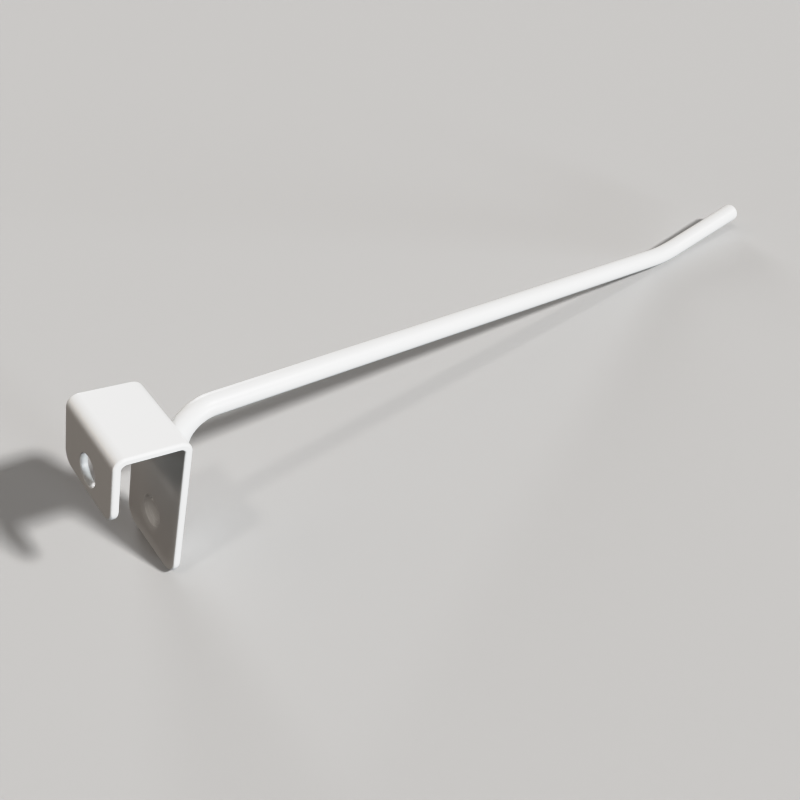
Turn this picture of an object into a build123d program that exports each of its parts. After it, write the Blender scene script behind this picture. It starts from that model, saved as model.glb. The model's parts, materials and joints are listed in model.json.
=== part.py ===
from build123d import *
import math
import os

# Square tube display hook: a folded sheet saddle that drops over a tube,
# and a bent rod that is plug-welded to the saddle's front leg.
# Sizes are in millimetres and degrees.
# X runs along the tube, +Y points out along the rod and +Z is up.
# The origin is the middle of the seat, the face of the saddle that rests on the tube.

# Tube that the saddle drops over
tube_width = 15.0
tube_clearance = 0.2

# Saddle, folded from one strip of sheet
saddle_width = 26.5
sheet_thickness = 2.0
fold_inner_radius = 1.2
front_leg_depth = 42.0
back_leg_depth = 17.2
front_corner_radius = 5.0
back_corner_radius = 4.0
sheet_edge_rounding = 0.5
hole_rim_chamfer = 0.4

# Screw hole in the back leg
screw_hole_diameter = 8.4
screw_hole_drop = 10.6

# Plug weld through the front leg
weld_hole_diameter = 8.4
weld_hole_drop = 29.9
weld_set_in = 0.4
weld_dish_depth = 0.7
weld_nugget_diameter = 3.0
weld_penetration = 0.3

# Rod: upright, elbow, run and tip
rod_diameter = 6.0
upright_end_drop = 37.0
elbow_drop = 0.75
elbow_radius = 10.0
run_length = 187.2
run_rise_angle = 6.0
tip_length = 38.0
tip_rise_angle = 15.0
tip_bend_radius = 50.0
rod_end_rounding = 0.8

# Two faces that meet at less than this angle run smoothly together
smooth_angle = 10.0

# Worked out from the sizes above
half_gap = (tube_width + tube_clearance) / 2
outer_face = half_gap + sheet_thickness
fold_outer_radius = fold_inner_radius + sheet_thickness
rod_radius = rod_diameter / 2
upright_axis = outer_face + rod_radius


def sharp_edges(solid):
    """Edges where two faces meet at an angle, without the lines where faces run smoothly together."""
    found = ShapeList()
    for edge in solid.edges():
        middle = edge @ 0.5
        normals = [face.normal_at(middle) for face in solid.faces() if edge in face.edges()]
        if len(normals) == 2 and normals[0].get_angle(normals[1]) > smooth_angle:
            found.append(edge)
    return found


def saddle_profile():
    """Section of the folded sheet, seen along the tube."""
    inner = FilletPolyline(
        (-half_gap, -back_leg_depth),
        (-half_gap, 0),
        (half_gap, 0),
        (half_gap, -front_leg_depth),
        radius=fold_inner_radius,
    )
    outer = FilletPolyline(
        (-outer_face, -back_leg_depth),
        (-outer_face, sheet_thickness),
        (outer_face, sheet_thickness),
        (outer_face, -front_leg_depth),
        radius=fold_outer_radius,
    )
    back_end = Line(inner @ 0, outer @ 0)
    front_end = Line(inner @ 1, outer @ 1)
    return make_face(inner.edges() + outer.edges() + [back_end, front_end])


def hole_through(diameter, inner_face, drop, direction):
    """A round cutter through one leg, from the leg's inner face outwards."""
    mouth = Plane((0, inner_face, -drop), z_dir=(0, direction, 0))
    return mouth * Cylinder(diameter / 2, 2 * sheet_thickness)


def make_saddle():
    """Folded saddle with rounded leg corners, the screw hole and the hole for the weld."""
    saddle = extrude(Plane.YZ * saddle_profile(), saddle_width / 2, both=True)
    leg_corners = saddle.edges().filter_by(Axis.Y)
    saddle = fillet(leg_corners.filter_by(lambda edge: edge.center().Y > half_gap), front_corner_radius)
    leg_corners = saddle.edges().filter_by(Axis.Y)
    saddle = fillet(
        leg_corners.filter_by(lambda edge: edge.center().Y < -half_gap), back_corner_radius
    )
    saddle = fillet(sharp_edges(saddle), sheet_edge_rounding)
    saddle -= hole_through(screw_hole_diameter, -half_gap, screw_hole_drop, -1)
    saddle -= hole_through(weld_hole_diameter, half_gap, weld_hole_drop, 1)
    all_but_rod_side = sharp_edges(saddle).sort_by(Axis.Y)[:-1]
    return chamfer(all_but_rod_side, hole_rim_chamfer)


def rod_path():
    """Centre line of the bent rod, from the foot of the upright to the tip."""
    run_angle = math.radians(run_rise_angle)
    tip_angle = math.radians(run_rise_angle + tip_rise_angle)
    foot = Vector(upright_axis, -upright_end_drop)
    elbow = Vector(upright_axis, -elbow_drop)
    bend = elbow + Vector(math.cos(run_angle), math.sin(run_angle)) * run_length
    tip = bend + Vector(math.cos(tip_angle), math.sin(tip_angle)) * tip_length
    return Plane.YZ * FilletPolyline(foot, elbow, bend, tip, radius=[elbow_radius, tip_bend_radius])


def make_rod():
    """Round bar bent along the path, with its two cut ends rounded off."""
    path = rod_path()
    section = Plane(path @ 0, z_dir=path % 0) * Circle(rod_radius)
    rod = sweep(section, path)
    return fillet(sharp_edges(rod), rod_end_rounding)


def make_weld():
    """Weld metal: a dished plug in the front leg's hole, with a nugget that bites into the rod."""
    hole_radius = weld_hole_diameter / 2
    nugget_radius = weld_nugget_diameter / 2
    crevice = rod_radius - math.sqrt(rod_radius**2 - nugget_radius**2)
    mouth = Plane((0, half_gap, -weld_hole_drop), z_dir=(0, 1, 0))
    from_mouth = (Align.CENTER, Align.CENTER, Align.MIN)
    plug = Cylinder(hole_radius, sheet_thickness - weld_set_in, align=from_mouth)
    nugget = Cylinder(nugget_radius, crevice + weld_penetration, align=from_mouth)
    dish = Cone(hole_radius, nugget_radius, weld_dish_depth, align=from_mouth)
    metal = Pos(0, 0, weld_set_in) * (plug - dish) + Pos(0, 0, sheet_thickness) * nugget
    return mouth * metal


saddle = make_saddle()
plug_weld = make_weld()
hook_rod = make_rod() - plug_weld

os.makedirs("parts", exist_ok=True)
for name, solid in (("saddle", saddle), ("plug_weld", plug_weld), ("hook_rod", hook_rod)):
    export_step(solid, f"parts/{name}.step")
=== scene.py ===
"""Looks and setting of the square tube display hook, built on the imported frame.

Everything is in metres, in the part's own frame: X along the tube, +Y out from the tube along the rod,
+Z up, and the origin in the middle of the seat. The saddle is made as a flat blank and then folded, the
rod is swept along its bent centre line, and the weld is a dished plug in the front leg's hole.
"""

from __future__ import annotations

import json
import logging
import math
from abc import ABC, abstractmethod
from collections.abc import Mapping, Sequence
from dataclasses import dataclass, field
from enum import Enum
from typing import Any, NamedTuple

import bpy
from mathutils import Matrix, Quaternion, Vector
from mathutils.geometry import delaunay_2d_cdt

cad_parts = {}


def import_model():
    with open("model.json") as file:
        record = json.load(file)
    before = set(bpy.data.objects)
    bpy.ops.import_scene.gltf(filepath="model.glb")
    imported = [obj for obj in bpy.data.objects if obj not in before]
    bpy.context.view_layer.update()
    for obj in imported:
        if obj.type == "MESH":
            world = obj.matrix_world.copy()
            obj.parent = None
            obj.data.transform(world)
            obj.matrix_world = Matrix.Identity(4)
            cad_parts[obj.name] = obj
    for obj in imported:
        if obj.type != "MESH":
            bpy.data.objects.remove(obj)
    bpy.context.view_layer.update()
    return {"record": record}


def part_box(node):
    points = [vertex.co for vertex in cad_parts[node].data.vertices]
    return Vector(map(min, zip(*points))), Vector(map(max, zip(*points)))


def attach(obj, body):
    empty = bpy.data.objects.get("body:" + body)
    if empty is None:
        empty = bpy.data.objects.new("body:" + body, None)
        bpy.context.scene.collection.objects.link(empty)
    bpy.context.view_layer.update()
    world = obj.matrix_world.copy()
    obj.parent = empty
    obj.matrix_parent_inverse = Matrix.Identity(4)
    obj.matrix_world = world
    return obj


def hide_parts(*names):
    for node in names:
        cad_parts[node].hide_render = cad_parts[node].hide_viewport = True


MM = 0.001
MICRON = 0.000001
QUARTER_TURN = math.pi / 2
FULL_TURN = 2 * math.pi
NOISE_MIDDLE = 0.5
BODY = "root"
COAT_SLOT = "white_powder_coat"
# attribute that carries the painted shade in the inner corners of the saddle's folds
PAINTED_FOLD_SHADE = "painted_fold_shade"

Colour = tuple[float, float, float]
LOG = logging.getLogger("display_hook")


class CadNode(str, Enum):
    """Nodes of the frame that the pieces here stand for."""

    SADDLE = "saddle"
    HOOK_ROD = "hook_rod"
    PLUG_WELD = "plug_weld"


class Zone(Enum):
    """Stretches of the saddle's strip, from the end of the back leg to the end of the front leg."""

    BACK_LEG = "back leg"
    BACK_FOLD = "back fold"
    TOP = "top"
    FRONT_FOLD = "front fold"
    FRONT_LEG = "front leg"


def smooth_step(value: float) -> float:
    """A smooth step from 0 at 0 to 1 at 1."""
    held = min(1.0, max(0.0, value))
    return held * held * (3 - 2 * held)


def way_at(angle: float) -> Vector:
    """Unit vector in a plane, at an angle from its first axis."""
    return Vector((math.cos(angle), math.sin(angle)))


def meeting_point(first: Vector, first_way: Vector, second: Vector, second_way: Vector) -> Vector:
    """Where two straight lines in a plane meet."""
    share = (second - first).cross(second_way) / first_way.cross(second_way)
    return first + first_way * share


def find_mount(record: Mapping[str, Any], name: str) -> Mapping[str, Any]:
    """The record's mount of that name."""
    return next(mount for mount in record["mounts"] if mount["name"] == name)


def add_to_scene(name: str, data: bpy.types.ID) -> bpy.types.Object:
    """Makes an object of a mesh, lamp or camera and links it to the scene.

    Args:
        name: the object's name.
        data: the mesh, lamp or camera.

    Returns:
        The object.
    """
    placed = bpy.data.objects.new(name, data)
    bpy.context.scene.collection.objects.link(placed)
    return placed


class Wire:
    """A node's output, with operators that add Math nodes."""

    def __init__(self, tree: ShaderTree, socket: bpy.types.NodeSocket | None) -> None:
        """Keeps the output and the tree that it belongs to."""
        self.tree = tree
        self.socket = socket

    def math(self, operation: str, first: Value, second: Value) -> Wire:
        """Result of one Math node."""
        return self.tree.add("ShaderNodeMath", {"operation": operation}, {0: first, 1: second})

    def __add__(self, other: Value) -> Wire:
        """Sum of the two values."""
        return self.math("ADD", self, other)

    def __radd__(self, other: Value) -> Wire:
        """Sum, with the plain number first."""
        return self.math("ADD", other, self)

    def __sub__(self, other: Value) -> Wire:
        """This value less the other."""
        return self.math("SUBTRACT", self, other)

    def __rsub__(self, other: Value) -> Wire:
        """The plain number less this value."""
        return self.math("SUBTRACT", other, self)

    def __mul__(self, other: Value) -> Wire:
        """Product of the two values."""
        return self.math("MULTIPLY", self, other)

    def __rmul__(self, other: Value) -> Wire:
        """Product, with the plain number first."""
        return self.math("MULTIPLY", other, self)


Value = Wire | float


class ShaderTree:
    """The nodes of one material or of the world."""

    MIX_COLOUR_A = 6
    MIX_COLOUR_B = 7
    MIX_COLOUR_RESULT = 2

    def __init__(self, node_tree: bpy.types.NodeTree) -> None:
        """Starts with no nodes.

        Args:
            node_tree: the tree of the material or of the world, which is cleared.
        """
        self.nodes = node_tree.nodes
        self.links = node_tree.links
        self.nodes.clear()

    def add(
        self,
        kind: str,
        settings: Mapping[str, Any] | None = None,
        sockets: Mapping[str | int, Any] | None = None,
        output: str | int = 0,
    ) -> Wire:
        """Adds one node.

        Args:
            kind: the node's type.
            settings: the node's own settings, which are set first.
            sockets: a value or a wire for each input that is used.
            output: the output that is wanted.

        Returns:
            The wanted output, or an empty wire where the node has none.
        """
        node = self.nodes.new(kind)
        for name, value in (settings or {}).items():
            setattr(node, name, value)
        for key, value in (sockets or {}).items():
            if isinstance(value, Wire):
                self.links.new(value.socket, node.inputs[key])
            else:
                node.inputs[key].default_value = value
        return Wire(self, node.outputs[output] if node.outputs else None)

    def noise(self, place: Wire, size: float, detail: float) -> Wire:
        """Soft noise from 0 to 1 whose lumps are about one size apart."""
        values = {"Vector": place, "Scale": 1 / size, "Detail": detail}
        return self.add("ShaderNodeTexNoise", {}, values, "Fac")

    def rise(self, value: Wire, start: float, end: float) -> Wire:
        """A smooth step from 0 at the start to 1 at the end."""
        limits = {"Value": value, "From Min": start, "From Max": end}
        return self.add("ShaderNodeMapRange", {"interpolation_type": "SMOOTHSTEP"}, limits)

    def blend(self, factor: Wire, low: Colour, high: Colour) -> Wire:
        """A colour between two, by a factor."""
        values = {0: factor, self.MIX_COLOUR_A: (*low, 1.0), self.MIX_COLOUR_B: (*high, 1.0)}
        return self.add("ShaderNodeMix", {"data_type": "RGBA"}, values, self.MIX_COLOUR_RESULT)


def new_material(name: str) -> tuple[bpy.types.Material, ShaderTree]:
    """Starts a material.

    Args:
        name: the material's name.

    Returns:
        The material and its empty node tree.
    """
    material = bpy.data.materials.new(name)
    material.use_nodes = True
    return material, ShaderTree(material.node_tree)


@dataclass(frozen=True)
class PowderCoat:
    """White satin powder coat: baked powder with an orange peel, a fine grain and a few nibs, darker in a
    random cloud, and with painted shade in the inner corners of the saddle's folds.

    Heights are in microns, the nibs' reach is a share of their spacing, and the other sizes are in metres.
    """

    name: str
    film: Colour = (0.83, 0.83, 0.82)
    # darker tone: the random cloud moves part of the way to it, and the painted shade in the inner fold
    # corners moves all the way
    cloud_and_shade_tone: Colour = (0.76, 0.755, 0.735)
    cloud_size: float = 22 * MM
    cloud_detail: float = 2.0
    cloud_share: float = 0.25
    roughness: float = 0.36
    roughness_sway: float = 0.07
    peel_size: float = 1.5 * MM
    peel_height: float = 12.0
    grain_size: float = 0.28 * MM
    grain_height: float = 1.2
    fine_detail: float = 1.0
    nib_spacing: float = 5.5 * MM
    nib_reach: float = 0.045
    nib_height: float = 14.0

    def material(self) -> bpy.types.Material:
        """Makes the coat's material.

        Returns:
            The material.
        """
        material, tree = new_material(self.name)
        place = tree.add("ShaderNodeTexCoord", output="Object")
        cloud = tree.noise(place, self.cloud_size, self.cloud_detail)
        peel = tree.noise(place, self.peel_size, self.fine_detail)
        grain = tree.noise(place, self.grain_size, self.fine_detail)
        spread = {"Vector": place, "Scale": 1 / self.nib_spacing}
        nib = 1 - tree.rise(tree.add("ShaderNodeTexVoronoi", {}, spread, "Distance"), 0.0, self.nib_reach)
        # painted shade: the saddle's inner fold corners are darkened towards the darker tone
        painted_shade = tree.add("ShaderNodeAttribute", {"attribute_name": PAINTED_FOLD_SHADE}, output="Fac")
        colour = tree.blend(cloud * self.cloud_share + painted_shade, self.film, self.cloud_and_shade_tone)
        cloud_sway = (cloud - NOISE_MIDDLE) * self.roughness_sway
        peel_sway = (peel - NOISE_MIDDLE) * self.roughness_sway
        roughness = self.roughness + cloud_sway + peel_sway
        height = peel * self.peel_height + grain * self.grain_height + nib * self.nib_height
        bump = tree.add("ShaderNodeBump", {}, {"Distance": MICRON, "Height": height})
        finish = {"Base Color": colour, "Roughness": roughness, "Normal": bump}
        surface = tree.add("ShaderNodeBsdfPrincipled", {}, finish)
        tree.add("ShaderNodeOutputMaterial", {}, {"Surface": surface})
        return material


@dataclass(frozen=True)
class PaleFloor:
    """Matt pale studio floor, even all over but for a faint tone."""

    name: str = "pale_floor"
    tone: Colour = (0.475, 0.475, 0.475)
    faint: float = 0.985
    cloud_size: float = 0.4
    cloud_detail: float = 2.0
    roughness: float = 0.9

    def material(self) -> bpy.types.Material:
        """Makes the floor's material.

        Returns:
            The material.
        """
        material, tree = new_material(self.name)
        place = tree.add("ShaderNodeTexCoord", output="Object")
        cloud = tree.noise(place, self.cloud_size, self.cloud_detail)
        dim = tuple(self.faint * part for part in self.tone)
        colour = tree.blend(cloud, self.tone, dim)
        finish = {"Base Color": colour, "Roughness": self.roughness, "Specular IOR Level": 0.0}
        surface = tree.add("ShaderNodeBsdfPrincipled", {}, finish)
        tree.add("ShaderNodeOutputMaterial", {}, {"Surface": surface})
        return material


@dataclass
class MeshDraft:
    """Points of a piece with their normals, and the faces between them."""

    points: list[Vector] = field(default_factory=list)
    normals: list[Vector] = field(default_factory=list)
    faces: list[tuple[int, ...]] = field(default_factory=list)

    def add(self, point: Vector, normal: Vector | None = None) -> int:
        """Adds a point.

        Args:
            point: its place.
            normal: its normal, or none where the faces round it give it.

        Returns:
            The point's number.
        """
        self.points.append(point)
        self.normals.append(Vector() if normal is None else normal)
        return len(self.points) - 1

    def skin(self, rings: Sequence[Sequence[int]]) -> None:
        """Joins closed rings of as many points with quads, each ring with the next.

        Args:
            rings: the numbers of each ring's points.
        """
        for first, second in zip(rings, rings[1:]):
            for i in range(len(first)):
                j = (i + 1) % len(first)
                self.faces.append((first[i], first[j], second[j], second[i]))

    def close(self, ring: Sequence[int], centre: int) -> None:
        """Closes a ring with triangles that meet in its centre, facing as the ring runs."""
        for i in range(len(ring)):
            self.faces.append((ring[i], ring[(i + 1) % len(ring)], centre))

    def make(self, name: str) -> bpy.types.Object:
        """Turns the draft into a smooth mesh object in the scene.

        Args:
            name: the piece's name.

        Returns:
            The piece.
        """
        mesh = bpy.data.meshes.new(name)
        mesh.from_pydata(self.points, [], self.faces)
        mesh.shade_smooth()
        mesh.normals_split_custom_set_from_vertices(self.normals)
        return add_to_scene(name, mesh)


class CoatedPiece(ABC):
    """A piece of the hook, which stands for a node of the frame and takes the coat."""

    node: CadNode

    @abstractmethod
    def build(self) -> bpy.types.Object:
        """Makes the piece's mesh and returns the piece."""

    def dress(self, piece: bpy.types.Object, coat: bpy.types.Material) -> None:
        """Coats the piece and puts it in its node's place on the body.

        Args:
            piece: the piece as it was built.
            coat: the coat's material.
        """
        piece.data.materials.append(coat)
        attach(piece, BODY)
        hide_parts(self.node.value)


class EdgeStep(NamedTuple):
    """One ring of a rounded sheet edge."""

    inset: float
    height: float
    lean: float


class BlankPoint(NamedTuple):
    """A point on the blank's outline or on a hole, with the way that faces out of the metal."""

    place: Vector
    outward: Vector


@dataclass(frozen=True)
class Stretch:
    """A straight stretch of the strip, or a fold of it, seen along the tube."""

    start: float
    length: float
    base: Vector
    heading: float
    turn: float
    inner_radius: float

    @property
    def end(self) -> float:
        """Distance along the strip where the stretch ends."""
        return self.start + self.length

    def place(self, along: float, height: float) -> Vector:
        """Place of a point of the strip.

        Args:
            along: distance along the strip.
            height: height over the strip's inner face.

        Returns:
            The point's Y and Z.
        """
        share = (along - self.start) / self.length
        angle = self.heading - self.turn * share
        outward = Vector((-math.sin(angle), math.cos(angle)))
        if self.turn:
            return self.base + outward * (self.inner_radius + height)
        return self.base + way_at(angle) * (along - self.start) + outward * height


@dataclass(frozen=True)
class SheetHole:
    """A round hole in the strip, with the rounding of its two rims."""

    centre: Vector
    radius: float
    inner_rim: float
    outer_rim: float
    points: int = 96

    def loop(self) -> list[BlankPoint]:
        """The hole's wall, clockwise as seen from the outer face."""
        ways = [way_at(-FULL_TURN * i / self.points) for i in range(self.points)]
        return [BlankPoint(self.centre + away * self.radius, -away) for away in ways]


@dataclass
class Saddle(CoatedPiece):
    """Sheet saddle: a strip with rounded ends and two holes, folded over the tube."""

    node = CadNode.SADDLE

    width: float
    thickness: float
    outer_face: float
    front_depth: float
    screw_drop: float
    screw_radius: float
    weld_drop: float
    weld_radius: float
    back_depth: float = 17.2 * MM
    fold_radius: float = 1.2 * MM
    back_corner: float = 4.0 * MM
    front_corner: float = 5.0 * MM
    inner_rounding: float = 0.6 * MM
    outer_rounding: float = 0.8 * MM
    rim_rounding: float = 0.3 * MM
    weld_back_rounding: float = 0.1 * MM
    neutral_share: float = 0.45
    fold_swell: float = 0.1 * MM
    swell_reach: float = 3.0 * MM
    # how far the painted shade reaches out from the inner fold corners
    fold_shade_reach: float = 2.5 * MM
    spacing: float = 0.8 * MM
    slope_step: float = 5 * MICRON
    fold_steps: int = 16
    corner_steps: int = 14
    edge_steps: int = 7
    stretches: dict[Zone, Stretch] = field(init=False)
    holes: tuple[SheetHole, ...] = field(init=False)

    @classmethod
    def from_frame(cls, record: Mapping[str, Any]) -> Saddle:
        """Reads the saddle's sizes from the frame, whose seat is at height 0.

        Args:
            record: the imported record.

        Returns:
            The saddle.
        """
        low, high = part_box(CadNode.SADDLE.value)
        weld_low, weld_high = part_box(CadNode.PLUG_WELD.value)
        screw = find_mount(record, "screw_hole")
        return cls(
            width=high.x - low.x,
            thickness=high.z,
            outer_face=high.y,
            front_depth=-low.z,
            screw_drop=-screw["pos_m"][2],
            screw_radius=screw["dims"]["r_mm"] * MM,
            weld_drop=-(weld_low.z + weld_high.z) / 2,
            weld_radius=(weld_high.x - weld_low.x) / 2,
        )

    def __post_init__(self) -> None:
        """Works out the strip's stretches and holes."""
        gap = self.half_gap
        bend = gap - self.fold_radius
        back_length = self.back_depth - self.fold_radius
        front_length = self.front_depth - self.fold_radius
        fold_length = QUARTER_TURN * (self.fold_radius + self.neutral_share * self.thickness)
        up, level, down = QUARTER_TURN, 0.0, -QUARTER_TURN
        straight, folded = 0.0, QUARTER_TURN
        plan = (
            (Zone.BACK_LEG, back_length, (-gap, -self.back_depth), up, straight),
            (Zone.BACK_FOLD, fold_length, (-bend, -self.fold_radius), up, folded),
            (Zone.TOP, 2 * bend, (-bend, 0.0), level, straight),
            (Zone.FRONT_FOLD, fold_length, (bend, -self.fold_radius), level, folded),
            (Zone.FRONT_LEG, front_length, (gap, -self.fold_radius), down, straight),
        )
        self.stretches = {}
        start = 0.0
        for zone, length, base, heading, turn in plan:
            self.stretches[zone] = Stretch(start, length, Vector(base), heading, turn, self.fold_radius)
            start += length
        screw_along = self.back_depth - self.screw_drop
        weld_along = self.stretches[Zone.FRONT_LEG].start + self.weld_drop - self.fold_radius
        rim = self.rim_rounding
        self.holes = (
            SheetHole(Vector((0.0, screw_along)), self.screw_radius, rim, rim),
            SheetHole(Vector((0.0, weld_along)), self.weld_radius, rim, self.weld_back_rounding),
        )

    @property
    def half_gap(self) -> float:
        """Distance from the middle of the seat to a leg's inner face."""
        return self.outer_face - self.thickness

    @property
    def half_width(self) -> float:
        """Distance from the strip's middle line to its side."""
        return self.width / 2

    @property
    def length(self) -> float:
        """Length of the strip."""
        return self.stretches[Zone.FRONT_LEG].end

    def stretch_at(self, along: float) -> Stretch:
        """The stretch that holds a distance along the strip."""
        reached = (stretch for stretch in self.stretches.values() if along <= stretch.end)
        return next(reached, self.stretches[Zone.FRONT_LEG])

    def fold_share(self, along: float) -> float:
        """How far a place is inside a fold: 1 in its middle, and 0 at its ends and outside."""
        stretch = self.stretch_at(along)
        return math.sin(math.pi * (along - stretch.start) / stretch.length) ** 2 if stretch.turn else 0.0

    def fold(self, blank: Vector) -> Vector:
        """Folds one point of the blank.

        Args:
            blank: place across the strip, along it, and over its inner face.

        Returns:
            The point's place on the saddle. In a fold the edges swell at the inner face and draw in at the
            outer one.
        """
        across, along, height = blank
        y, z = self.stretch_at(along).place(along, height)
        near_edge = max(0.0, 1 - (self.half_width - abs(across)) / self.swell_reach)
        squeeze = 1 - 2 * height / self.thickness
        swell = self.fold_swell * self.fold_share(along) * near_edge**2 * squeeze
        return Vector((across + math.copysign(swell, across), y, z))

    def fold_normal(self, blank: Vector, normal: Vector) -> Vector:
        """Turns a normal of the blank with the folding, by the slope of the fold at that point.

        Args:
            blank: the point's place on the blank.
            normal: its normal there.

        Returns:
            The normal on the saddle.
        """
        slopes = []
        for axis in Matrix.Identity(3):
            shift = axis * self.slope_step
            slopes.append((self.fold(blank + shift) - self.fold(blank - shift)) / (2 * self.slope_step))
        return (Matrix(slopes).inverted() @ normal).normalized()

    def rows(self) -> list[float]:
        """Rows of the mesh, closer together in the folds.

        Returns:
            Their distances along the strip.
        """
        found = [0.0]
        for stretch in self.stretches.values():
            steps = self.fold_steps if stretch.turn else round(stretch.length / self.spacing)
            found += [stretch.start + stretch.length * (i + 1) / steps for i in range(steps)]
        return found

    def columns(self) -> list[float]:
        """Columns of the mesh, within the rounded edges.

        Returns:
            Their places across the strip.
        """
        reach = self.half_width - self.outer_rounding
        steps = round(2 * reach / self.spacing)
        return [-reach + 2 * reach * i / steps for i in range(1, steps)]

    def corner(self, side: int, end: int) -> list[BlankPoint]:
        """A rounded corner of the blank, anticlockwise as seen from the outer face.

        Args:
            side: 1 or -1, for the +X or the -X side.
            end: 1 or -1, for the front leg's or the back leg's end.

        Returns:
            The corner's points.
        """
        radius = self.front_corner if end > 0 else self.back_corner
        along = self.length - radius if end > 0 else radius
        centre = Vector((side * (self.half_width - radius), along))
        first = math.atan2(end, side) - QUARTER_TURN / 2
        steps = range(self.corner_steps + 1)
        ways = [way_at(first + QUARTER_TURN * i / self.corner_steps) for i in steps]
        return [BlankPoint(centre + outward * radius, outward) for outward in ways]

    def outline(self) -> list[BlankPoint]:
        """The blank's outline, anticlockwise as seen from the outer face.

        Returns:
            The outline's points.
        """
        gap = self.spacing / 2
        first_row = self.back_corner + gap
        last_row = self.length - self.front_corner - gap
        rows = [row for row in self.rows() if first_row < row < last_row]
        front_reach = self.half_width - self.front_corner - gap
        back_reach = self.half_width - self.back_corner - gap
        front_columns = [column for column in reversed(self.columns()) if abs(column) < front_reach]
        back_columns = [column for column in self.columns() if abs(column) < back_reach]
        right, left = Vector((1.0, 0.0)), Vector((-1.0, 0.0))
        front, back = Vector((0.0, 1.0)), Vector((0.0, -1.0))
        return [
            *(BlankPoint(Vector((self.half_width, row)), right) for row in rows),
            *self.corner(1, 1),
            *(BlankPoint(Vector((column, self.length)), front) for column in front_columns),
            *self.corner(-1, 1),
            *(BlankPoint(Vector((-self.half_width, row)), left) for row in reversed(rows)),
            *self.corner(-1, -1),
            *(BlankPoint(Vector((column, 0.0)), back) for column in back_columns),
            *self.corner(1, -1),
        ]

    def edge_steps_of(self, inner: float, outer: float) -> list[EdgeStep]:
        """Rings of a rounded sheet edge.

        Args:
            inner: the rounding at the inner face.
            outer: the rounding at the outer face.

        Returns:
            The rings from the inner face to the outer one.
        """
        leans = [QUARTER_TURN * i / self.edge_steps for i in range(self.edge_steps + 1)]
        found = []
        for lean in reversed(leans):
            found.append(EdgeStep(inner * (1 - math.cos(lean)), inner * (1 - math.sin(lean)), -lean))
        for lean in leans:
            height = self.thickness - outer * (1 - math.sin(lean))
            found.append(EdgeStep(outer * (1 - math.cos(lean)), height, lean))
        return found

    def depth_inside(self, place: Vector) -> float:
        """How far a place of the blank is inside its outline.

        Args:
            place: place across and along the strip.

        Returns:
            The distance to the outline.
        """
        far_end = place.y > self.length / 2
        radius = self.front_corner if far_end else self.back_corner
        to_end = self.length - place.y if far_end else place.y
        to_side = self.half_width - abs(place.x)
        if to_end < radius and to_side < radius:
            return radius - math.hypot(radius - to_end, radius - to_side)
        return min(to_end, to_side)

    def inner_places(self, rims: Sequence[float]) -> list[Vector]:
        """Grid points of a face, clear of the outline and of the holes' rims.

        Args:
            rims: each hole's rounding on that face.

        Returns:
            The points' places on the blank.
        """
        gap = self.spacing / 2
        limits = [(hole.centre, hole.radius + rim + gap) for hole, rim in zip(self.holes, rims)]
        found = []
        for row in self.rows():
            for column in self.columns():
                place = Vector((column, row))
                inside = self.depth_inside(place) >= self.outer_rounding + gap
                if inside and all((place - centre).length > limit for centre, limit in limits):
                    found.append(place)
        return found

    def add_point(self, draft: MeshDraft, place: Vector, height: float, normal: Vector) -> int:
        """Adds one folded point of the blank to the draft and returns its number."""
        blank = Vector((place.x, place.y, height))
        return draft.add(self.fold(blank), self.fold_normal(blank, normal))

    def add_edge(
        self, draft: MeshDraft, loop: Sequence[BlankPoint], steps: Sequence[EdgeStep]
    ) -> list[list[int]]:
        """Adds one edge of the sheet.

        Args:
            draft: the mesh so far.
            loop: the outline or a hole's wall.
            steps: the rings of the edge's section.

        Returns:
            The numbers of each ring's points, from the inner face to the outer one.
        """
        rings = []
        for step in steps:
            ring = []
            for point in loop:
                normal = Vector((*(point.outward * math.cos(step.lean)), math.sin(step.lean)))
                place = point.place - point.outward * step.inset
                ring.append(self.add_point(draft, place, step.height, normal))
            rings.append(ring)
        draft.skin(rings)
        return rings

    def add_face(
        self,
        draft: MeshDraft,
        loops: Sequence[tuple[Sequence[BlankPoint], Sequence[int], float]],
        outer: bool,
    ) -> None:
        """Fills the inner or the outer face between its edges.

        Args:
            draft: the mesh so far.
            loops: for each edge its loop, its ring on this face and its rounding there, the outline first.
            outer: whether the face is the outer one.
        """
        places: list[Vector] = []
        numbers: list[int] = []
        limits: list[tuple[int, int]] = []
        rims: list[set[int]] = []
        for loop, ring, rounding in loops:
            first = len(places)
            places += [point.place - point.outward * rounding for point in loop]
            numbers += ring
            limits += [(first + i, first + (i + 1) % len(ring)) for i in range(len(ring))]
            rims.append(set(ring))
        height = self.thickness if outer else 0.0
        normal = Vector((0.0, 0.0, 1.0 if outer else -1.0))
        for place in self.inner_places([rounding for _, _, rounding in loops[1:]]):
            places.append(place)
            numbers.append(self.add_point(draft, place, height, normal))
        inside_limits = 1
        in_mm = [place / MM for place in places]
        _, _, triangles, *_ = delaunay_2d_cdt(in_mm, limits, [], inside_limits, MICRON)
        for triangle in triangles:
            face = tuple(numbers[corner] for corner in triangle)
            in_hole = any(rim.issuperset(face) for rim in rims[1:])
            if not in_hole:
                draft.faces.append(face if outer else face[::-1])

    def mark_painted_fold_shade(self, piece: bpy.types.Object) -> None:
        """Marks the inner corners of the folds, where the coat's colour is darkened as painted shade.

        Args:
            piece: the saddle as it was built.
        """
        corners = [stretch.base for stretch in self.stretches.values() if stretch.turn]
        marks = []
        for vertex in piece.data.vertices:
            # painted shade, strongest at each fold's inner corner and fading out over the reach
            distance = min((vertex.co.yz - corner).length for corner in corners) - self.fold_radius
            inside = abs(vertex.co.y) <= self.half_gap + MICRON and vertex.co.z <= MICRON
            marks.append(max(0.0, 1 - distance / self.fold_shade_reach) if inside else 0.0)
        piece.data.attributes.new(PAINTED_FOLD_SHADE, "FLOAT", "POINT").data.foreach_set("value", marks)

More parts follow.
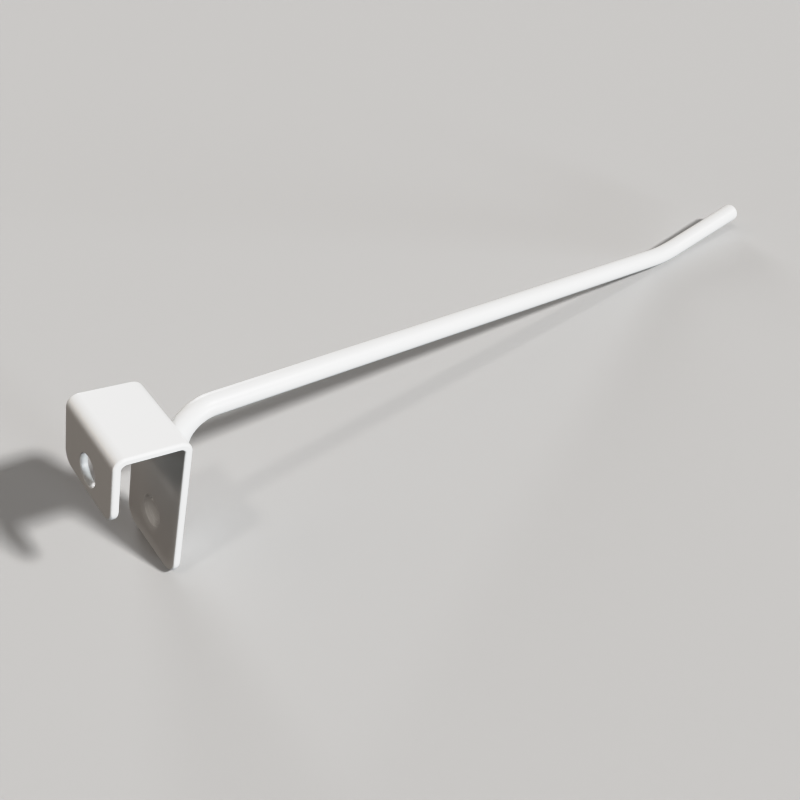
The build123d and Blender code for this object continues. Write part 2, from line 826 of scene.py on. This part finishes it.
    def build(self) -> bpy.types.Object:
        """Makes the saddle's mesh.

        Returns:
            The saddle.
        """
        draft = MeshDraft()
        edges = [(self.outline(), self.inner_rounding, self.outer_rounding)]
        edges += [(hole.loop(), hole.inner_rim, hole.outer_rim) for hole in self.holes]
        inner_loops = []
        outer_loops = []
        for loop, inner, outer in edges:
            rings = self.add_edge(draft, loop, self.edge_steps_of(inner, outer))
            inner_loops.append((loop, rings[0], inner))
            outer_loops.append((loop, rings[-1], outer))
        self.add_face(draft, inner_loops, outer=False)
        self.add_face(draft, outer_loops, outer=True)
        piece = draft.make("folded_saddle")
        # paints shade into the inner corners of the folds
        self.mark_painted_fold_shade(piece)
        return piece


class Station(NamedTuple):
    """A point of the rod's centre line, its heading, and how far it is inside a bend (0 to 1)."""

    point: Vector
    heading: float
    bend: float

    @property
    def place(self) -> Vector:
        """The point's place in the frame."""
        return Vector((0.0, *self.point))

    @property
    def forward(self) -> Vector:
        """Way along the rod, towards its tip."""
        return Vector((0.0, math.cos(self.heading), math.sin(self.heading)))


@dataclass
class HookRod(CoatedPiece):
    """Round bar, bent at the elbow and at the tip, with its two cut ends rounded off."""

    node = CadNode.HOOK_ROD

    radius: float
    corners: tuple[Vector, Vector, Vector, Vector]
    elbow_radius: float = 10.0 * MM
    tip_radius: float = 50.0 * MM
    end_rounding: float = 0.8 * MM
    bend_flattening: float = 0.015
    step: float = 2.0 * MM
    arc_steps: int = 28
    sides: int = 72
    end_steps: int = 8
    end_rings: int = 5

    @classmethod
    def from_frame(cls, record: Mapping[str, Any]) -> HookRod:
        """Reads the rod's centre line from the frame.

        Args:
            record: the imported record, whose mounts give the run and the tip.

        Returns:
            The rod.
        """
        low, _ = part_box(CadNode.HOOK_ROD.value)
        run = find_mount(record, "hanging_run")
        tip = find_mount(record, "rod_tip")
        radius = run["dims"]["r_mm"] * MM
        run_place, run_way = Vector(run["pos_m"]).yz, Vector(run["axis"]).yz
        tip_place, tip_way = Vector(tip["pos_m"]).yz, Vector(tip["axis"]).yz
        foot = Vector((low.y + radius, low.z))
        elbow = meeting_point(foot, Vector((0.0, 1.0)), run_place, run_way)
        bend = meeting_point(run_place, run_way, tip_place, tip_way)
        tip_end = tip_place + tip_way * (tip["dims"]["length_mm"] * MM / 2 + cls.end_rounding)
        return cls(radius, (foot, elbow, bend, tip_end))

    def straight(self, start: Vector, end: Vector) -> list[Station]:
        """Stations along a straight stretch.

        Args:
            start: where it starts.
            end: where it ends.

        Returns:
            The stations, without the one at the end.
        """
        way = end - start
        heading = math.atan2(way.y, way.x)
        count = max(1, round(way.length / self.step))
        return [Station(start + way * (i / count), heading, 0.0) for i in range(count)]

    def stations(self) -> list[Station]:
        """Stations along the whole centre line.

        Returns:
            The stations from the foot of the upright to the tip.
        """
        found: list[Station] = []
        start = self.corners[0]
        radii = (self.elbow_radius, self.tip_radius)
        for before, corner, after, radius in zip(self.corners, self.corners[1:], self.corners[2:], radii):
            way_in = (corner - before).normalized()
            way_out = (after - corner).normalized()
            turn = way_out.angle_signed(way_in)
            reach = radius * math.tan(abs(turn) / 2)
            arc_start = corner - way_in * reach
            found += self.straight(start, arc_start)
            heading = math.atan2(way_in.y, way_in.x)
            side = math.copysign(1.0, turn)
            centre = arc_start + Vector((-way_in.y, way_in.x)) * radius * side
            for i in range(self.arc_steps):
                share = i / self.arc_steps
                angle = heading + turn * share
                point = centre + Vector((math.sin(angle), -math.cos(angle))) * radius * side
                found.append(Station(point, angle, math.sin(math.pi * share)))
            start = corner + way_out * reach
        found += self.straight(start, self.corners[-1])
        found.append(Station(self.corners[-1], found[-1].heading, 0.0))
        return found

    def add_ring(
        self, draft: MeshDraft, station: Station, radius: float, shift: float = 0.0, tilt: float = 0.0
    ) -> list[int]:
        """Adds one ring of the rod's surface.

        Args:
            draft: the mesh so far.
            station: the place on the centre line.
            radius: the ring's radius.
            shift: how far the ring stands ahead of the station.
            tilt: how far its normals lean forward.

        Returns:
            The numbers of the ring's points.
        """
        forward = station.forward
        down = Vector((0.0, forward.z, -forward.y))
        across = Vector((1.0, 0.0, 0.0))
        middle = station.place + forward * shift
        oval = self.bend_flattening * station.bend
        ring = []
        for i in range(self.sides):
            angle = FULL_TURN * i / self.sides
            wide, deep = math.cos(angle), math.sin(angle)
            point = middle + (across * wide * (1 + oval) + down * deep * (1 - oval)) * radius
            normal = (across * wide + down * deep) * math.cos(tilt) + forward * math.sin(tilt)
            ring.append(draft.add(point, normal))
        return ring

    def add_end(self, draft: MeshDraft, station: Station, way: int) -> list[int]:
        """Adds one rounded end, with its flat cut.

        Args:
            draft: the mesh so far.
            station: the end of the centre line.
            way: 1 at the tip, -1 at the foot.

        Returns:
            The ring where the end meets the rod's side.
        """
        rings = []
        for i in range(self.end_steps + 1):
            tilt = QUARTER_TURN * i / self.end_steps
            shift = -way * self.end_rounding * (1 - math.sin(tilt))
            radius = self.radius - self.end_rounding * (1 - math.cos(tilt))
            rings.append(self.add_ring(draft, station, radius, shift, way * tilt))
        flat = self.radius - self.end_rounding
        for i in range(1, self.end_rings):
            share = 1 - i / self.end_rings
            rings.append(self.add_ring(draft, station, flat * share, tilt=way * QUARTER_TURN))
        centre = draft.add(station.place, station.forward * way)
        draft.skin(rings if way > 0 else rings[::-1])
        draft.close(rings[-1] if way > 0 else rings[-1][::-1], centre)
        return rings[0]

    def build(self) -> bpy.types.Object:
        """Makes the rod's mesh.

        Returns:
            The rod.
        """
        draft = MeshDraft()
        foot, *body, tip = self.stations()
        rings = [self.add_end(draft, foot, -1)]
        rings += [self.add_ring(draft, station, self.radius) for station in body]
        rings.append(self.add_end(draft, tip, 1))
        draft.skin(rings)
        return draft.make("bent_rod")


class Pit(NamedTuple):
    """A small round hollow in the weld's face, with its place from the weld's middle."""

    place: Vector
    radius: float
    depth: float

    def depth_at(self, spot: Vector) -> float:
        """Depth of the hollow at a spot of the weld's face."""
        return self.depth * (1 - smooth_step((spot - self.place).length / self.radius))


class Lobe(NamedTuple):
    """A slow swell of the weld's face: its lumps in a full turn, their start and their share."""

    count: int
    start: float
    share: float

    def height_at(self, turn: float, reach: float) -> float:
        """Height of the swell at a turn round the weld's middle and a share of its radius."""
        return self.share * reach ** (self.count - 1) * math.sin(self.count * turn + self.start)


@dataclass
class PlugWeld(CoatedPiece):
    """Weld metal in the front leg's hole: dished and rippled in front, drawn against the rod behind."""

    node = CadNode.PLUG_WELD

    middle: Vector
    radius: float
    wall_depth: float
    back: float
    inner_face: float
    rod_radius: float
    bowl_depth: float = 1.0 * MM
    bowl_power: float = 2.0
    toe_climb: float = 0.3 * MM
    toe_width: float = 0.9 * MM
    edge_rounding: float = 0.1 * MM
    bite_radius: float = 1.3 * MM
    bite_fade: float = 0.9 * MM
    lump_height: float = 0.09 * MM
    lobes: tuple[Lobe, ...] = (Lobe(2, 2.1, 1.0), Lobe(3, 0.4, 0.7))
    ripple_height: float = 0.025 * MM
    ripple_pitch: float = 0.75 * MM
    ripple_centre: Vector = field(default_factory=lambda: Vector((0.5, 0.8)) * MM)
    pits: tuple[Pit, ...] = (
        Pit(Vector((-1.5, 3.0)) * MM, 1.3 * MM, 0.7 * MM),
        Pit(Vector((3.2, 1.6)) * MM, 0.8 * MM, 0.8 * MM),
    )
    sides: int = 96
    rings: int = 30
    edge_steps: int = 4

    @classmethod
    def from_frame(cls, saddle: Saddle, rod: HookRod) -> PlugWeld:
        """Reads the weld's place from the frame.

        Args:
            saddle: the saddle, whose front leg the weld fills.
            rod: the rod that it holds.

        Returns:
            The weld.
        """
        low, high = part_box(CadNode.PLUG_WELD.value)
        return cls(
            middle=Vector((0.0, (low.z + high.z) / 2)),
            radius=(high.x - low.x) / 2,
            wall_depth=low.y - saddle.half_gap,
            back=saddle.outer_face,
            inner_face=saddle.half_gap,
            rod_radius=rod.radius,
        )

    def front(self, spot: Vector) -> float:
        """Depth of the weld's face below the leg's inner face.

        Args:
            spot: place across and up from the weld's middle.

        Returns:
            The depth, with the dish, the toe that climbs the wall, the lumps, the ripples and the pits.
        """
        reach = min(1.0, spot.length / self.radius)
        turn = math.atan2(spot.y, spot.x)
        bowl = self.bowl_depth * (1 - reach**self.bowl_power)
        lumps = sum(lobe.height_at(turn, reach) for lobe in self.lobes)
        wave = math.cos(FULL_TURN * (spot - self.ripple_centre).length / self.ripple_pitch)
        calm = smooth_step((self.radius - spot.length) / self.toe_width)
        rough = (self.lump_height * lumps + self.ripple_height * wave) * calm
        hollow = sum(pit.depth_at(spot) for pit in self.pits)
        return self.wall_depth - self.toe_climb + bowl + rough + hollow

    def behind(self, spot: Vector) -> float:
        """Back of the weld, which fills the narrow gap beside the rod's line of contact.

        Args:
            spot: place across and up from the weld's middle.

        Returns:
            The back's Y.
        """
        gap = self.rod_radius - math.sqrt(self.rod_radius**2 - min(abs(spot.x), self.rod_radius) ** 2)
        fade = 1 - smooth_step((spot.length - self.bite_radius) / self.bite_fade)
        return self.back + gap * fade

    def surface(self, spot: Vector, in_front: bool, sink: float = 0.0) -> Vector:
        """Point of the weld's front or back at a spot, or sunk into the metal from there."""
        y = self.inner_face + self.front(spot) + sink if in_front else self.behind(spot) - sink
        return Vector((spot.x + self.middle.x, y, spot.y + self.middle.y))

    def add_ring(self, draft: MeshDraft, radius: float, in_front: bool, sink: float = 0.0) -> list[int]:
        """Adds a ring of the weld's front or back and returns the numbers of its points."""
        spots = [way_at(FULL_TURN * i / self.sides) * radius for i in range(self.sides)]
        return [draft.add(self.surface(spot, in_front, sink)) for spot in spots]

    def add_side(self, draft: MeshDraft, in_front: bool) -> list[list[int]]:
        """Adds the rings of one face and of its rounded edge.

        Args:
            draft: the mesh so far.
            in_front: whether it is the dished face.

        Returns:
            The numbers of each ring's points, from the middle out to the wall.
        """
        flat = self.radius - self.edge_rounding
        rings = [self.add_ring(draft, flat * (i + 1) / self.rings, in_front) for i in range(self.rings)]
        for i in range(1, self.edge_steps + 1):
            lean = QUARTER_TURN * i / self.edge_steps
            radius = flat + self.edge_rounding * math.sin(lean)
            rings.append(self.add_ring(draft, radius, in_front, self.edge_rounding * (1 - math.cos(lean))))
        return rings

    def build(self) -> bpy.types.Object:
        """Makes the weld's mesh.

        Returns:
            The weld.
        """
        draft = MeshDraft()
        front = self.add_side(draft, in_front=True)
        back = self.add_side(draft, in_front=False)
        draft.skin([*back, *reversed(front)])
        middle = Vector((0.0, 0.0))
        draft.close(front[0], draft.add(self.surface(middle, in_front=True)))
        draft.close(back[0][::-1], draft.add(self.surface(middle, in_front=False)))
        return draft.make("plug_weld_bead")


@dataclass(frozen=True)
class SoftLight:
    """A broad studio lamp, far away, that lights all from one side. Its angles are in degrees."""

    name: str
    azimuth: float
    elevation: float
    spread: float
    power: float
    tint: Colour = (1.0, 1.0, 1.0)

    @property
    def toward(self) -> Vector:
        """Direction from the hook to the lamp.

        Returns:
            The direction, with a length of 1.
        """
        azimuth, elevation = math.radians(self.azimuth), math.radians(self.elevation)
        level = math.cos(elevation)
        return Vector((level * math.cos(azimuth), level * math.sin(azimuth), math.sin(elevation)))

    def build(self) -> None:
        """Hangs the lamp."""
        lamp = bpy.data.lights.new(self.name, "SUN")
        lamp.energy = self.power
        lamp.angle = math.radians(self.spread)
        lamp.color = self.tint
        holder = add_to_scene(self.name, lamp)
        holder.rotation_euler = self.toward.to_track_quat("Z", "Y").to_euler()


@dataclass(frozen=True)
class ToneShoulder:
    """Tone curve of the picture: even up to light grey, then a soft shoulder that keeps form in white."""

    COMBINED_CURVE = 3

    white: float = 2.4
    top: float = 0.97
    stops: tuple[tuple[float, float], ...] = (
        (0.4, 0.4), (0.8, 0.76), (1.0, 0.825), (1.2, 0.865), (1.6, 0.93)
    )

    def apply(self) -> None:
        """Sets the scene's tone curve."""
        view = bpy.context.scene.view_settings
        view.view_transform = "Standard"
        view.use_curve_mapping = True
        mapping = view.curve_mapping
        mapping.white_level = (self.white, self.white, self.white)
        combined = mapping.curves[self.COMBINED_CURVE]
        combined.points[-1].location = (1.0, self.top)
        for light, shown in self.stops:
            combined.points.new(light / self.white, shown)
        mapping.update()


@dataclass
class Studio:
    """Pale floor that the hook lies on, lamps round it and an even backdrop."""

    floor_tilt: float = math.radians(16.9)
    floor_reach: float = 4.0
    ambient: Colour = (0.050, 0.043, 0.038)
    below_share: float = 0.3
    horizon_blur: float = 0.15
    floor: PaleFloor = PaleFloor()
    lamps: tuple[SoftLight, ...] = (
        SoftLight("key_lamp", azimuth=17, elevation=50, spread=6, power=3.87, tint=(1.0, 0.99, 0.98)),
        SoftLight("fill_lamp", azimuth=11, elevation=7, spread=12, power=2.72, tint=(0.89, 0.955, 1.0)),
        SoftLight("left_lamp", azimuth=-125, elevation=26, spread=40, power=0.27, tint=(1.0, 0.88, 0.78)),
        SoftLight("low_lamp", azimuth=-90, elevation=-11, spread=14, power=0.23, tint=(1.0, 0.9, 0.82)),
        SoftLight("top_lamp", azimuth=-86, elevation=53.5, spread=6, power=0.35, tint=(1.0, 0.95, 0.88)),
        SoftLight("back_lamp", azimuth=168, elevation=15, spread=24, power=1.9),
    )
    shoulder: ToneShoulder = ToneShoulder()

    @property
    def floor_normal(self) -> Vector:
        """Way up from the floor, which leans so that the hook lies on its front leg and on its rod."""
        return Vector((0.0, -math.sin(self.floor_tilt), math.cos(self.floor_tilt)))

    def floor_light(self) -> Colour:
        """Brightness of the bare floor under the lamps, which the backdrop takes up.

        Returns:
            The floor's red, green and blue.
        """
        found = []
        for channel, (tone, ambient) in enumerate(zip(self.floor.tone, self.ambient)):
            arriving = sum(
                lamp.power * lamp.tint[channel] * max(0.0, lamp.toward.dot(self.floor_normal))
                for lamp in self.lamps
            )
            found.append(tone * (arriving / math.pi + ambient))
        return tuple(found)

    def build_floor(self, contact: Vector) -> None:
        """Lays the floor.

        Args:
            contact: the point of the hook that touches the floor.
        """
        reach = self.floor_reach
        corners = [(-reach, -reach, 0.0), (reach, -reach, 0.0), (reach, reach, 0.0), (-reach, reach, 0.0)]
        mesh = bpy.data.meshes.new("studio_floor")
        mesh.from_pydata(corners, [], [(0, 1, 2, 3)])
        mesh.materials.append(self.floor.material())
        floor = add_to_scene("studio_floor", mesh)
        floor.location = contact
        floor.rotation_euler = (self.floor_tilt, 0.0, 0.0)
        floor.visible_diffuse = False
        floor.visible_glossy = False

    def build_backdrop(self) -> None:
        """Sets the room's light, dimmer from below, and a backdrop as bright as the floor."""
        world = bpy.data.worlds.new("studio_room")
        world.use_nodes = True
        bpy.context.scene.world = world
        tree = ShaderTree(world.node_tree)
        way = tree.add("ShaderNodeTexCoord", output="Generated")
        ways = {0: way, 1: self.floor_normal}
        height = tree.add("ShaderNodeVectorMath", {"operation": "DOT_PRODUCT"}, ways, "Value")
        above = tree.rise(height, -self.horizon_blur, self.horizon_blur)
        below = tuple(self.below_share * part for part in self.ambient)
        room = tree.add("ShaderNodeBackground", {}, {"Color": tree.blend(above, below, self.ambient)})
        backdrop = tree.add("ShaderNodeBackground", {}, {"Color": (*self.floor_light(), 1.0)})
        seen = tree.add("ShaderNodeLightPath", output="Is Camera Ray")
        surface = tree.add("ShaderNodeMixShader", {}, {0: seen, 1: room, 2: backdrop})
        tree.add("ShaderNodeOutputWorld", {}, {"Surface": surface})

    def build(self, contact: Vector) -> None:
        """Sets up the floor, the lamps and the backdrop.

        Args:
            contact: the point of the hook that touches the floor.
        """
        self.build_floor(contact)
        for lamp in self.lamps:
            lamp.build()
        self.build_backdrop()
        self.shoulder.apply()


@dataclass(frozen=True)
class PhotoCamera:
    """Camera at the photograph's angle, aimed at a point of the hook's middle plane."""

    eye: tuple[float, float, float] = (149.613 * MM, -74.269 * MM, 129.641 * MM)
    aim: tuple[float, float, float] = (0.0, 86.304 * MM, -15.740 * MM)
    roll: float = math.radians(15.085)
    lens: float = 39.433
    sensor: float = 36.0
    nearest: float = 1 * MM

    def build(self) -> None:
        """Sets up the camera and makes it the scene's own."""
        data = bpy.data.cameras.new("photo_camera")
        data.sensor_width = self.sensor
        data.lens = self.lens
        data.clip_start = self.nearest
        camera = add_to_scene("photo_camera", data)
        camera.location = self.eye
        look = (Vector(self.aim) - Vector(self.eye)).to_track_quat("-Z", "Y")
        camera.rotation_euler = (look @ Quaternion((0.0, 0.0, 1.0), self.roll)).to_euler()
        bpy.context.scene.camera = camera


def main() -> None:
    """Builds the hook's pieces on the frame, dresses them and sets the studio up around them."""
    logging.basicConfig(level=logging.INFO, format="%(name)s: %(message)s")
    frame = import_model()
    record = frame["record"]
    coat = PowderCoat(COAT_SLOT).material()
    saddle = Saddle.from_frame(record)
    rod = HookRod.from_frame(record)
    weld = PlugWeld.from_frame(saddle, rod)
    for part in (saddle, rod, weld):
        piece = part.build()
        part.dress(piece, coat)
        LOG.info("%s: %d points, %d faces", piece.name, len(piece.data.vertices), len(piece.data.polygons))
    Studio().build(Vector((0.0, saddle.outer_face, -saddle.front_depth)))
    PhotoCamera().build()


if __name__ == "__main__":
    main()
